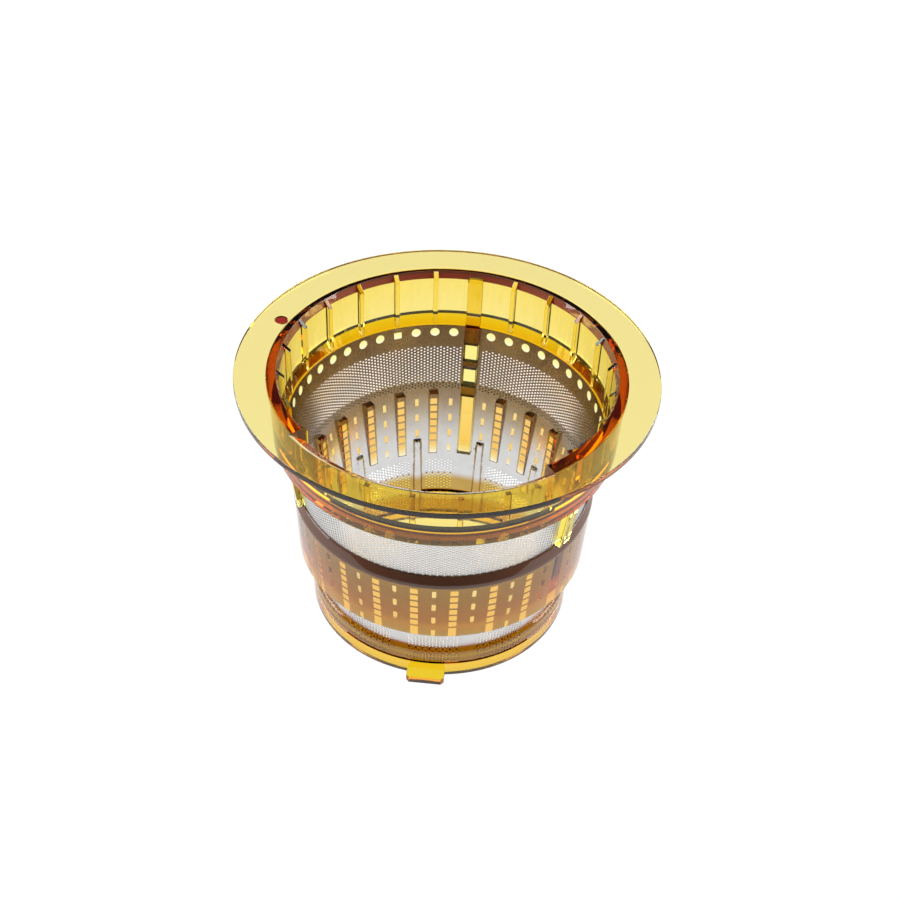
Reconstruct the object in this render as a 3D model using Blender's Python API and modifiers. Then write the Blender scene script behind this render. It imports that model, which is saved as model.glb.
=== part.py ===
"""Slow-juicer strainer, called a double sieve strainer: a clear amber frame moulded round a steel screen.

Units are metres and +Z is up. The origin is on the axis, at the middle of the foot ring's underside.
Azimuths are in degrees, counted from +X towards +Y, and run upwards by one rib pitch at a time.
"""

import math

import bmesh
import bpy
from mathutils import Matrix, Vector

MM = 0.001
OBJECT_NAME = "double_sieve_strainer"
GAP = 0.3 * MM
SEGMENTS = 72
MERGE_DISTANCE = 0.01 * MM
CREASE_ANGLE = math.radians(25)

# Driving dimensions: the whole strainer and its flanged neck.
HEIGHT = 82 * MM
FLANGE_RADIUS = 57.5 * MM
FLANGE_THICKNESS = 1.8 * MM
NECK_OUTER_RADIUS = 48.6 * MM
NECK_BORE_RADIUS = 45.4 * MM
NECK_EDGE_RADIUS = 47.7 * MM
NECK_BOTTOM = HEIGHT - 20.6 * MM
NECK_INNER_BOTTOM = HEIGHT - 23 * MM
RIM_CHAMFER_WIDTH = 0.8 * MM
RIM_CHAMFER_HEIGHT = 2.0 * MM
LEDGE_TOP = HEIGHT - 14.6 * MM
LEDGE_HEIGHT = 2.8 * MM

# On one side the rim slopes down towards the bore.
RELIEF_RADIUS = 50.3 * MM
RELIEF_DEPTH = 4.3 * MM
RELIEF_START = 218.0
RELIEF_END = 304.0
RELIEF_STEPS = 18
RELIEF_REACH = 2 * MM

# The screen is one straight cone. Its radius is given at the top edge and falls with height.
SCREEN_TOP = HEIGHT - 18 * MM
SCREEN_BOTTOM = 4 * MM
SCREEN_TOP_RADIUS = 43.9 * MM
SCREEN_TAPER = 0.1295
SCREEN_THICKNESS = 0.4 * MM
SCREEN_SPLIT = HEIGHT - 40.3 * MM

# Ribs, bars and posts stand on one angular grid.
RIB_PITCH = 15.0
FIRST_RIB_AZIMUTH = 81.0
RIB_COUNT = 24
BAR_EVERY = 8
NECK_RIB_WIDTH = 1.4 * MM
NECK_RIB_INNER_RADIUS = 43.9 * MM
LOW_RIB_TOP = HEIGHT - 6.2 * MM
BAR_WIDTH = 4.4 * MM
BAR_BOTTOM = HEIGHT - 63 * MM
BAR_DEPTH_TOP = 1.9 * MM
BAR_DEPTH_BOTTOM = 1.1 * MM
SLOT_RIB_WIDTH = 2.8 * MM
SLOT_RIB_TOP = HEIGHT - 41.2 * MM
SLOT_RIB_BOTTOM = HEIGHT - 63.8 * MM
SLOT_RIB_DEPTH_TOP = 1.7 * MM
SLOT_RIB_DEPTH_BOTTOM = 0.8 * MM

# Openings in the screen.
HOLE_DIAMETER = 2.8 * MM
HOLE_HEIGHT = HEIGHT - 20.4 * MM
HOLE_COUNT = 48
HOLE_SIDES = 10
SLOT_WIDTH = 2.1 * MM
SLOT_TOP = HEIGHT - 42.8 * MM
DASH_WIDTH = 1.1 * MM
DASH_LENGTH = 2.6 * MM
DASH_FIRST_HEIGHT = HEIGHT - 45.0 * MM
DASH_PITCH = 5.6 * MM
DASHES_PER_COLUMN = 4
# One hole is square. It sits below the rib at this place on the rib grid.
SQUARE_HOLE_INDEX = 2
SQUARE_HOLE_SIDE = 2.4 * MM
WINDOW_WIDTH = 3.6 * MM
UPPER_WINDOWS = ((HEIGHT - 29.0 * MM, HEIGHT - 23.2 * MM), (HEIGHT - 38.0 * MM, HEIGHT - 31.6 * MM))
LONG_WINDOW = (HEIGHT - 62.7 * MM, HEIGHT - 41.5 * MM)
# A cutter is deep enough to follow the slope of the wall over the height that it cuts.
SHORT_CUT_DEPTH = 4 * MM
TALL_CUT_DEPTH = 8 * MM

# Rings outside the screen.
MID_RING_RADIUS = 43.2 * MM
MID_RING_TOP = HEIGHT - 38 * MM
MID_RING_EDGE_HEIGHT = HEIGHT - 40.6 * MM
MID_RING_BOTTOM = HEIGHT - 41.4 * MM
MID_RING_LIP = 0.4 * MM
WALL_TOP_RADIUS = 43.1 * MM
WALL_BOTTOM_RADIUS = 42.1 * MM
WALL_BOTTOM = HEIGHT - 61.2 * MM
WALL_INNER_BOTTOM = HEIGHT - 64 * MM
WALL_BEVEL = 0.5 * MM
POST_DEPTH = 2.2 * MM
FOOT_RADIUS = 38.4 * MM
FOOT_BORE_RADIUS = 35.4 * MM
FOOT_TOP = 10.4 * MM
FOOT_TOP_LIP = 0.3 * MM
FOOT_TOP_SLOPE = 0.9 * MM
FOOT_GROOVE_HEIGHT = 5.3 * MM
FOOT_GROOVE_DEPTH = 0.5 * MM
FOOT_GROOVE_HALF_HEIGHT = 0.4 * MM
FOOT_CHAMFER = 0.4 * MM
FOOT_BORE_CHAMFER = 0.6 * MM
LUG_WIDTH = 10.8 * MM
LUG_REACH = 3.3 * MM
LUG_HEIGHT = 2.3 * MM
LUG_BEVEL = 0.8 * MM
LUG_ROOT_STEPS = 3
LUG_AZIMUTHS = (266.0, 26.0, 146.0)

# The red dot that marks the flange.
DOT_DIAMETER = 3.6 * MM
DOT_DEPTH = 0.6 * MM
DOT_RADIUS_FROM_AXIS = 50.5 * MM
DOT_AZIMUTH = 159.0
DOT_SIDES = 24


def screen_inner(height):
    """The screen's inner radius at a height."""
    return SCREEN_TOP_RADIUS + SCREEN_TAPER * (height - SCREEN_TOP)


def screen_outer(height):
    """The screen's outer radius at a height."""
    return screen_inner(height) + SCREEN_THICKNESS


def grid_azimuth(index):
    """The azimuth of one place on the rib grid."""
    return FIRST_RIB_AZIMUTH + RIB_PITCH * index


def bar_indices():
    """The places on the rib grid that hold a long bar in place of a rib."""
    return range(0, RIB_COUNT, BAR_EVERY)


def rib_indices():
    """The places on the rib grid that hold a short rib."""
    return [index for index in range(RIB_COUNT) if index % BAR_EVERY]


def clear_scene():
    for obj in list(bpy.data.objects):
        bpy.data.objects.remove(obj, do_unlink=True)


def new_collection(name):
    collection = bpy.data.collections.new(name)
    bpy.context.scene.collection.children.link(collection)
    return collection


def new_material(name, colour, roughness, metallic=0.0, transmission=0.0, ior=1.5):
    material = bpy.data.materials.new(name)
    material.use_nodes = True
    shader = material.node_tree.nodes["Principled BSDF"]
    shader.inputs["Base Color"].default_value = (*colour, 1.0)
    shader.inputs["Roughness"].default_value = roughness
    shader.inputs["Metallic"].default_value = metallic
    shader.inputs["Transmission Weight"].default_value = transmission
    shader.inputs["IOR"].default_value = ior
    material.diffuse_color = (*colour, 1.0)
    return material


def add_object(name, data, material, collection):
    obj = bpy.data.objects.new(name, data)
    if material and material.name not in data.materials:
        data.materials.append(material)
    collection.objects.link(obj)
    return obj


def turned(name, section, material, collection):
    """A ring turned from a closed (radius, height) section, listed down the outside and up the inside."""
    mesh = bpy.data.meshes.new(name)
    edges = [(index, (index + 1) % len(section)) for index in range(len(section))]
    mesh.from_pydata([(radius, 0.0, height) for radius, height in section], edges, [])
    obj = add_object(name, mesh, material, collection)
    screw = obj.modifiers.new("turn", "SCREW")
    screw.steps = SEGMENTS
    screw.render_steps = SEGMENTS
    screw.use_merge_vertices = True
    screw.merge_threshold = MERGE_DISTANCE
    screw.use_smooth_shade = False
    return obj


def plate_outline(name, outline, width, material):
    """A flat outline in the (radius, height) plane, thickened to a width."""
    curve = bpy.data.curves.new(name, "CURVE")
    curve.dimensions = "2D"
    curve.fill_mode = "BOTH"
    curve.extrude = width / 2
    curve.materials.append(material)
    spline = curve.splines.new("POLY")
    spline.points.add(len(outline) - 1)
    for point, (radius, height) in zip(spline.points, outline):
        point.co = (radius, height, 0.0, 1.0)
    spline.use_cyclic_u = True
    return curve


def stand_plate(name, curve, azimuth, collection):
    """A plate standing upright in the plane through the axis at an azimuth."""
    plate = bpy.data.objects.new(name, curve)
    plate.rotation_euler = (math.pi / 2, 0.0, math.radians(azimuth))
    collection.objects.link(plate)
    return plate


def add_cut(obj, cutter):
    cut = obj.modifiers.new("cut " + cutter.name, "BOOLEAN")
    cut.operation = "DIFFERENCE"
    cut.solver = "EXACT"
    cut.object = cutter


def cutter_object(name, build, collection):
    """A mesh of separate closed cutting bodies, added one by one by build(bmesh)."""
    mesh = bpy.data.meshes.new(name)
    bodies = bmesh.new()
    build(bodies)
    bodies.to_mesh(mesh)
    bodies.free()
    cutter = add_object(name, mesh, None, collection)
    cutter.hide_render = True
    cutter.display_type = "WIRE"
    return cutter


def add_radial_box(bodies, azimuth, low, high, width, depth):
    """A box across the screen wall, between two heights."""
    middle = (low + high) / 2
    turn = Matrix.Rotation(math.radians(azimuth), 4, "Z")
    place = Matrix.Translation(Vector((screen_outer(middle), 0.0, middle)))
    size = Matrix.Diagonal((depth, width, high - low, 1.0))
    bmesh.ops.create_cube(bodies, size=1.0, matrix=turn @ place @ size)


def add_radial_pin(bodies, azimuth, height, diameter):
    """A short round pin across the screen wall."""
    turn = Matrix.Rotation(math.radians(azimuth), 4, "Z")
    place = Matrix.Translation(Vector((screen_outer(height), 0.0, height)))
    lay = Matrix.Rotation(math.pi / 2, 4, "Y")
    bmesh.ops.create_cone(
        bodies,
        cap_ends=True,
        segments=HOLE_SIDES,
        radius1=diameter / 2,
        radius2=diameter / 2,
        depth=SHORT_CUT_DEPTH,
        matrix=turn @ place @ lay,
    )


def make_collar(material, parts, cutters):
    """Flange, neck wall and ledge, with the recess for the dot."""
    ledge_bottom = LEDGE_TOP - LEDGE_HEIGHT
    ledge_radius = screen_inner(SCREEN_TOP) + SCREEN_THICKNESS / 2
    pocket_top = SCREEN_TOP + GAP
    section = [
        (FLANGE_RADIUS, HEIGHT),
        (FLANGE_RADIUS, HEIGHT - FLANGE_THICKNESS),
        (NECK_OUTER_RADIUS, HEIGHT - FLANGE_THICKNESS),
        (NECK_EDGE_RADIUS, NECK_BOTTOM),
        (screen_outer(NECK_INNER_BOTTOM) + GAP, NECK_INNER_BOTTOM),
        (screen_outer(pocket_top) + GAP, pocket_top),
        (ledge_radius, pocket_top),
        (ledge_radius, ledge_bottom),
        (NECK_BORE_RADIUS, LEDGE_TOP),
        (NECK_BORE_RADIUS, HEIGHT - RIM_CHAMFER_HEIGHT),
        (NECK_BORE_RADIUS + RIM_CHAMFER_WIDTH, HEIGHT),
    ]
    collar = turned("flange_collar", section, material, parts)

    def recess(bodies):
        place = dot_position() - Vector((0.0, 0.0, DOT_DEPTH / 2))
        bmesh.ops.create_cone(
            bodies,
            cap_ends=True,
            segments=DOT_SIDES,
            radius1=DOT_DIAMETER / 2 + GAP,
            radius2=DOT_DIAMETER / 2 + GAP,
            depth=DOT_DEPTH + 2 * GAP,
            matrix=Matrix.Translation(place),
        )

    add_cut(collar, cutter_object("dot_recess_cutter", recess, cutters))
    add_cut(collar, cutter_object("rim_relief_cutter", add_rim_relief, cutters))


def add_rim_relief(bodies):
    """A wedge that slopes the rim down towards the bore, over one part of the turn."""
    slope = RELIEF_DEPTH / (RELIEF_RADIUS - NECK_BORE_RADIUS)
    inner = NECK_BORE_RADIUS - RELIEF_REACH
    outer = RELIEF_RADIUS + RELIEF_REACH
    section = [
        (inner, HEIGHT - RELIEF_DEPTH - slope * RELIEF_REACH),
        (outer, HEIGHT + slope * RELIEF_REACH),
        (inner, HEIGHT + slope * RELIEF_REACH),
    ]
    rings = []
    for step in range(RELIEF_STEPS + 1):
        azimuth = RELIEF_START + (RELIEF_END - RELIEF_START) * step / RELIEF_STEPS
        turn = Matrix.Rotation(math.radians(azimuth), 3, "Z")
        rings.append([bodies.verts.new(turn @ Vector((radius, 0.0, height))) for radius, height in section])
    for here, there in zip(rings, rings[1:]):
        for index in range(len(section)):
            after = (index + 1) % len(section)
            bodies.faces.new((here[index], here[after], there[after], there[index]))
    bodies.faces.new(reversed(rings[0]))
    bodies.faces.new(rings[-1])
    bmesh.ops.recalc_face_normals(bodies, faces=bodies.faces)


def dot_position():
    """The middle of the dot's top face."""
    azimuth = math.radians(DOT_AZIMUTH)
    across = DOT_RADIUS_FROM_AXIS * math.cos(azimuth)
    along = DOT_RADIUS_FROM_AXIS * math.sin(azimuth)
    return Vector((across, along, HEIGHT))


def make_dot(material, parts):
    mesh = bpy.data.meshes.new("alignment_dot")
    disc = bmesh.new()
    bmesh.ops.create_cone(
        disc,
        cap_ends=True,
        segments=DOT_SIDES,
        radius1=DOT_DIAMETER / 2,
        radius2=DOT_DIAMETER / 2,
        depth=DOT_DEPTH,
    )
    disc.to_mesh(mesh)
    disc.free()
    dot = add_object("alignment_dot", mesh, material, parts)
    dot.location = dot_position() - Vector((0.0, 0.0, DOT_DEPTH / 2))


def lead_in(radius):
    """The height of the sloping lead-in across the tops of ribs and bars."""
    return HEIGHT - (NECK_BORE_RADIUS + RIM_CHAMFER_WIDTH - radius)


def make_neck_ribs(material, parts):
    """Short upright ribs inside the neck, standing on the ledge. They are lower where the rim slopes down."""
    outer = NECK_BORE_RADIUS - GAP
    foot = LEDGE_TOP + GAP
    inner = NECK_RIB_INNER_RADIUS
    full = [(inner, foot), (outer, foot), (outer, lead_in(outer)), (inner, lead_in(inner))]
    low = [(inner, foot), (outer, foot), (outer, LOW_RIB_TOP), (inner, LOW_RIB_TOP)]
    full_curve = plate_outline("neck_rib", full, NECK_RIB_WIDTH, material)
    low_curve = plate_outline("low_neck_rib", low, NECK_RIB_WIDTH, material)
    for number, index in enumerate(rib_indices(), start=1):
        azimuth = grid_azimuth(index)
        curve = low_curve if RELIEF_START < azimuth < RELIEF_END else full_curve
        stand_plate(f"neck_rib_{number:02d}", curve, azimuth, parts)


def make_press_bars(material, parts):
    """Long bars that run down the neck and the inside of the screen, thinner towards the foot."""
    ledge_radius = screen_inner(SCREEN_TOP) + SCREEN_THICKNESS / 2
    ledge_bottom = LEDGE_TOP - LEDGE_HEIGHT
    outline = [
        (screen_inner(BAR_BOTTOM) - BAR_DEPTH_BOTTOM, BAR_BOTTOM),
        (screen_inner(BAR_BOTTOM) - GAP, BAR_BOTTOM),
        (screen_inner(SCREEN_TOP) - GAP, SCREEN_TOP),
        (ledge_radius - GAP, ledge_bottom),
        (NECK_BORE_RADIUS - GAP, LEDGE_TOP),
        (NECK_BORE_RADIUS - GAP, lead_in(NECK_BORE_RADIUS - GAP)),
        (NECK_RIB_INNER_RADIUS, lead_in(NECK_RIB_INNER_RADIUS)),
        (NECK_RIB_INNER_RADIUS, LEDGE_TOP),
        (screen_inner(SCREEN_TOP) - BAR_DEPTH_TOP, SCREEN_TOP - LEDGE_HEIGHT),
    ]
    curve = plate_outline("press_bar", outline, BAR_WIDTH, material)
    for number, index in enumerate(bar_indices(), start=1):
        stand_plate(f"press_bar_{number}", curve, grid_azimuth(index), parts)


def make_slot_ribs(material, parts):
    """Ribs on the inside of the slotted band that squeeze the pulp, each over one column of slots."""
    outline = [
        (screen_inner(SLOT_RIB_BOTTOM) - SLOT_RIB_DEPTH_BOTTOM, SLOT_RIB_BOTTOM),
        (screen_inner(SLOT_RIB_BOTTOM) - GAP, SLOT_RIB_BOTTOM),
        (screen_inner(SLOT_RIB_TOP) - GAP, SLOT_RIB_TOP),
        (screen_inner(SLOT_RIB_TOP) - SLOT_RIB_DEPTH_TOP, SLOT_RIB_TOP),
    ]
    curve = plate_outline("slot_rib", outline, SLOT_RIB_WIDTH, material)
    for number, index in enumerate(rib_indices(), start=1):
        stand_plate(f"slot_rib_{number:02d}", curve, grid_azimuth(index), parts)


def make_outer_posts(material, parts):
    """Posts outside the upper sieve that join the neck to the middle ring."""
    top = NECK_INNER_BOTTOM - GAP
    bottom = MID_RING_TOP + GAP
    outline = [
        (screen_outer(bottom) + GAP, bottom),
        (screen_outer(bottom) + GAP + POST_DEPTH, bottom),
        (screen_outer(top) + GAP + POST_DEPTH, top),
        (screen_outer(top) + GAP, top),
    ]
    curve = plate_outline("outer_post", outline, BAR_WIDTH, material)
    for number, index in enumerate(bar_indices(), start=1):
        stand_plate(f"outer_post_{number}", curve, grid_azimuth(index), parts)


def screen_band(name, low, high, material, parts):
    """One band of the conical screen, still without openings."""
    section = [
        (screen_outer(high), high),
        (screen_outer(low), low),
        (screen_inner(low), low),
        (screen_inner(high), high),
    ]
    return turned(name, section, material, parts)


def make_upper_screen(material, parts, cutters):
    """The upper sieve band, with its row of round holes and the windows behind the bars."""
    band = screen_band("upper_screen", SCREEN_SPLIT + GAP / 2, SCREEN_TOP, material, parts)

    def openings(bodies):
        holes_per_rib = HOLE_COUNT // RIB_COUNT
        square_low = HOLE_HEIGHT - SQUARE_HOLE_SIDE / 2
        square_high = HOLE_HEIGHT + SQUARE_HOLE_SIDE / 2
        for index in range(HOLE_COUNT):
            azimuth = grid_azimuth(index / holes_per_rib)
            if index == SQUARE_HOLE_INDEX * holes_per_rib:
                add_radial_box(bodies, azimuth, square_low, square_high, SQUARE_HOLE_SIDE, SHORT_CUT_DEPTH)
            elif index % (BAR_EVERY * holes_per_rib):
                add_radial_pin(bodies, azimuth, HOLE_HEIGHT, HOLE_DIAMETER)
        for index in bar_indices():
            for low, high in UPPER_WINDOWS:
                azimuth = grid_azimuth(index)
                add_radial_box(bodies, azimuth, low, high, WINDOW_WIDTH, SHORT_CUT_DEPTH)

    add_cut(band, cutter_object("upper_opening_cutter", openings, cutters))


def make_lower_screen(material, parts, cutters):
    """The lower sieve band: a slot behind each rib, a long window behind each bar and columns of dashes."""
    band = screen_band("lower_screen", SCREEN_BOTTOM, SCREEN_SPLIT - GAP / 2, material, parts)
    slot_low = SLOT_RIB_BOTTOM
    window_low, window_high = LONG_WINDOW

    def openings(bodies):
        for index in rib_indices():
            azimuth = grid_azimuth(index)
            add_radial_box(bodies, azimuth, slot_low, SLOT_TOP, SLOT_WIDTH, TALL_CUT_DEPTH)
        for index in bar_indices():
            azimuth = grid_azimuth(index)
            add_radial_box(bodies, azimuth, window_low, window_high, WINDOW_WIDTH, TALL_CUT_DEPTH)
        for index in range(RIB_COUNT):
            azimuth = grid_azimuth(index + 0.5)
            # Every second column is one dash shorter.
            for step in range(DASHES_PER_COLUMN - index % 2):
                middle = DASH_FIRST_HEIGHT - DASH_PITCH * step
                low = middle - DASH_LENGTH / 2
                high = middle + DASH_LENGTH / 2
                add_radial_box(bodies, azimuth, low, high, DASH_WIDTH, SHORT_CUT_DEPTH)

    add_cut(band, cutter_object("lower_opening_cutter", openings, cutters))


def make_mid_ring(material, parts):
    """The dark band where the upper sieve ends: a sloping shoulder with a small edge."""
    section = [
        (screen_outer(MID_RING_TOP) + GAP + MID_RING_LIP, MID_RING_TOP),
        (MID_RING_RADIUS, MID_RING_EDGE_HEIGHT),
        (MID_RING_RADIUS, MID_RING_BOTTOM),
        (screen_outer(MID_RING_BOTTOM) + GAP, MID_RING_BOTTOM),
        (screen_outer(MID_RING_TOP) + GAP, MID_RING_TOP),
    ]
    turned("mid_ring", section, material, parts)


def make_outer_wall(material, parts):
    """The solid wall behind the slotted band."""
    top = MID_RING_BOTTOM - GAP
    section = [
        (WALL_TOP_RADIUS, top),
        (WALL_BOTTOM_RADIUS, WALL_BOTTOM + WALL_BEVEL),
        (WALL_BOTTOM_RADIUS - WALL_BEVEL, WALL_BOTTOM),
        (screen_outer(WALL_INNER_BOTTOM) + GAP, WALL_INNER_BOTTOM),
        (screen_outer(top) + GAP, top),
    ]
    turned("outer_wall", section, material, parts)


def make_foot_ring(material, parts):
    """The ring that closes the bottom of the screen and stands on its flat underside."""
    pocket = SCREEN_BOTTOM - GAP
    section = [
        (screen_outer(FOOT_TOP) + GAP + FOOT_TOP_LIP, FOOT_TOP),
        (FOOT_RADIUS, FOOT_TOP - FOOT_TOP_SLOPE),
        (FOOT_RADIUS, FOOT_GROOVE_HEIGHT + FOOT_GROOVE_HALF_HEIGHT),
        (FOOT_RADIUS - FOOT_GROOVE_DEPTH, FOOT_GROOVE_HEIGHT),
        (FOOT_RADIUS, FOOT_GROOVE_HEIGHT - FOOT_GROOVE_HALF_HEIGHT),
        (FOOT_RADIUS, FOOT_CHAMFER),
        (FOOT_RADIUS - FOOT_CHAMFER, 0.0),
        (FOOT_BORE_RADIUS, 0.0),
        (FOOT_BORE_RADIUS, pocket - FOOT_BORE_CHAMFER),
        (screen_inner(SCREEN_BOTTOM) - GAP, pocket),
        (screen_outer(pocket) + GAP, pocket),
        (screen_outer(FOOT_TOP) + GAP, FOOT_TOP),
    ]
    turned("foot_ring", section, material, parts)


def make_lugs(material, parts):
    """Three locking lugs that stand out from the foot ring."""
    inner = FOOT_RADIUS + GAP
    half = LUG_WIDTH / 2
    half_angle = math.asin(half / inner)
    # The root follows the round foot ring, so the lug's sides start where the ring has curved away.
    root = inner * math.cos(half_angle)
    steps = range(LUG_ROOT_STEPS, -LUG_ROOT_STEPS - 1, -1)
    angles = [half_angle * step / LUG_ROOT_STEPS for step in steps]
    arc = [(inner * math.cos(angle), inner * math.sin(angle)) for angle in angles]
    tip = inner + LUG_REACH
    outline = arc + [
        (root + LUG_REACH, -half),
        (tip, -half + LUG_BEVEL),
        (tip, half - LUG_BEVEL),
        (root + LUG_REACH, half),
    ]
    curve = plate_outline("lug", outline, LUG_HEIGHT, material)
    for number, azimuth in enumerate(LUG_AZIMUTHS, start=1):
        lug = bpy.data.objects.new(f"lock_lug_{number}", curve)
        lug.location = (0.0, 0.0, LUG_HEIGHT / 2)
        lug.rotation_euler = (0.0, 0.0, math.radians(azimuth))
        parts.objects.link(lug)


def smooth_round_faces(parts):
    """Applies the modifiers of each turned or cut piece, and shades it smooth between its real edges."""
    graph = bpy.context.evaluated_depsgraph_get()
    for obj in [obj for obj in parts.objects if obj.type == "MESH"]:
        mesh = bpy.data.meshes.new_from_object(obj.evaluated_get(graph))
        mesh.shade_smooth()
        mesh.set_sharp_from_angle(angle=CREASE_ANGLE)
        obj.modifiers.clear()
        obj.data = mesh


def main():
    clear_scene()
    parts = new_collection(OBJECT_NAME)
    cutters = new_collection("cutters")
    amber = new_material("amber_plastic", (0.86, 0.58, 0.08), 0.06, transmission=0.9, ior=1.62)
    steel = new_material("screen_steel", (0.62, 0.60, 0.57), 0.3, metallic=1.0)
    red = new_material("red_mark", (0.62, 0.08, 0.05), 0.4)
    make_collar(amber, parts, cutters)
    make_dot(red, parts)
    make_neck_ribs(amber, parts)
    make_press_bars(amber, parts)
    make_upper_screen(steel, parts, cutters)
    make_outer_posts(amber, parts)
    make_mid_ring(amber, parts)
    make_lower_screen(steel, parts, cutters)
    make_slot_ribs(amber, parts)
    make_outer_wall(amber, parts)
    make_foot_ring(amber, parts)
    make_lugs(amber, parts)
    smooth_round_faces(parts)


main()
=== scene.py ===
"""Looks of the double sieve strainer: a clear amber frame moulded round an etched steel screen.

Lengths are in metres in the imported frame: +Z up, origin at the middle of the foot ring's underside.
Heights are counted down from the flange's top face, as depths. Azimuths are in degrees from +X towards +Y.
"""

import math

import bmesh
import bpy
from mathutils import Matrix, Vector
from mathutils.geometry import delaunay_2d_cdt


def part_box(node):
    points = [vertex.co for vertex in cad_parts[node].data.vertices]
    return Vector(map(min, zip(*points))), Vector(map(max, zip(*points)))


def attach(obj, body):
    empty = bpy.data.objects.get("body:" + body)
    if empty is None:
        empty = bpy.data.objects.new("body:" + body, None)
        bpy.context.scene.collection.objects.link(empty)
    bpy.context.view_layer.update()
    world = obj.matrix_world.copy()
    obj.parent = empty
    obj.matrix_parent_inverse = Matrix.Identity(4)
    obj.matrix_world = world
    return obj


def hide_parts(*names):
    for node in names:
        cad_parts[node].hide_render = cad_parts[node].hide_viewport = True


MM = 0.001
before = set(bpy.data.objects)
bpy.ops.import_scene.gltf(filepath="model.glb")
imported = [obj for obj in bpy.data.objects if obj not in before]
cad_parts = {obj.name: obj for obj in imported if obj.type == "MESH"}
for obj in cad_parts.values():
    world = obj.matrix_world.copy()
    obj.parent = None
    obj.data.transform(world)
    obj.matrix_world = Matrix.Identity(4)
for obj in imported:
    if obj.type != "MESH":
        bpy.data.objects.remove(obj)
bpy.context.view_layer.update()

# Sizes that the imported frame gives.
COLLAR_LOW, COLLAR_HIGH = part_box("flange_collar")
UPPER_LOW, UPPER_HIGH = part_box("upper_screen")
LOWER_LOW, LOWER_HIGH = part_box("lower_screen")
MID_RING_LOW, MID_RING_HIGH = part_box("mid_ring")
WALL_LOW, WALL_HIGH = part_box("outer_wall")
FOOT_LOW, FOOT_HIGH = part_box("foot_ring")
DOT_LOW, DOT_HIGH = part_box("alignment_dot")
LUG_LOW, LUG_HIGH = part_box("lock_lug_1")
TOP = COLLAR_HIGH.z
FLANGE_RADIUS = COLLAR_HIGH.x
FOOT_RADIUS = FOOT_HIGH.x
CAD_SCREEN_THICKNESS = 0.4 * MM
SCREEN_TOP_DEPTH = TOP - UPPER_HIGH.z
SCREEN_BOTTOM_DEPTH = TOP - LOWER_LOW.z
SCREEN_SPLIT_DEPTH = TOP - (UPPER_LOW.z + LOWER_HIGH.z) / 2
SCREEN_TOP_RADIUS = UPPER_HIGH.x - CAD_SCREEN_THICKNESS
SCREEN_TAPER = (UPPER_HIGH.x - LOWER_HIGH.x) / (UPPER_HIGH.z - LOWER_HIGH.z)

# The flange and the neck.
FLANGE_THICKNESS = 1.8 * MM
NECK_OUTER_RADIUS = 48.6 * MM
NECK_EDGE_RADIUS = 47.7 * MM
NECK_BORE_RADIUS = 45.4 * MM
NECK_BOTTOM_DEPTH = 20.6 * MM
NECK_INNER_BOTTOM_DEPTH = TOP - COLLAR_LOW.z
RIM_CHAMFER_WIDTH = 0.8 * MM
RIM_CHAMFER_HEIGHT = 2.0 * MM
RELIEF_RADIUS = 50.3 * MM
RELIEF_DEPTH = 4.3 * MM
RELIEF_START = 218.0
RELIEF_END = 304.0
RELIEF_REACH = 2.0 * MM
LEDGE_TOP_DEPTH = 14.6 * MM
LEDGE_BOTTOM_DEPTH = 17.4 * MM
LEDGE_BOTTOM_RADIUS = 44.1 * MM

# Where the ledge ends and the clear wedge below it starts: at the sheet, and at the neck's outer face.
GRIP_DEPTH = 18.3 * MM
GRIP_OUTER_DEPTH = 20.3 * MM

# The small block over the square hole. Its face slopes in towards the sheet.
KEY_TOP_DEPTH = GRIP_DEPTH + 0.1 * MM
KEY_BOTTOM_DEPTH = LEDGE_BOTTOM_DEPTH + 1.9 * MM
KEY_INNER = 0.3 * MM
KEY_TOP_OUTER = 0.8 * MM
KEY_BOTTOM_OUTER = 0.2 * MM
KEY_EASE = 0.08 * MM

# Bodies of plastic that meet stay this far apart, so that no two faces share a place.
BAR_GAP = 0.05 * MM
BODY_GAP = 0.02 * MM

# Ribs, bars and posts stand on one angular grid.
RIB_PITCH = 15.0
FIRST_RIB_AZIMUTH = 81.0
RIB_COUNT = 24
BAR_EVERY = 8
SECTOR = RIB_PITCH * BAR_EVERY
RIB_INNER_RADIUS = 43.9 * MM
RIB_ROOT_RADIUS = NECK_BORE_RADIUS + 0.7 * MM
RIB_BOTTOM_DEPTH = LEDGE_BOTTOM_DEPTH - 0.1 * MM
LOW_RIB_TOP_DEPTH = 6.2 * MM
NECK_RIB_WIDTH = 1.4 * MM
NECK_RIB_EASE = 0.15 * MM
BAR_WIDTH = 4.4 * MM
BAR_TOP_RISE = 1.9 * MM
BAR_TAPER = 0.8 * MM
BAR_BOTTOM_DEPTH = 63.0 * MM
BAR_EASE = 0.15 * MM
BAR_BLOCK_EASE = 0.05 * MM
POST_DEPTH = 2.2 * MM
POST_EASE = 0.2 * MM
SLOT_RIB_WIDTH = 2.8 * MM
SLOT_RIB_TOP_DEPTH = 41.2 * MM
SLOT_RIB_BOTTOM_DEPTH = 63.8 * MM
SLOT_RIB_TOP_RISE = 1.6 * MM
SLOT_RIB_BOTTOM_RISE = 0.35 * MM
SLOT_RIB_EASE = 0.08 * MM

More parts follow.
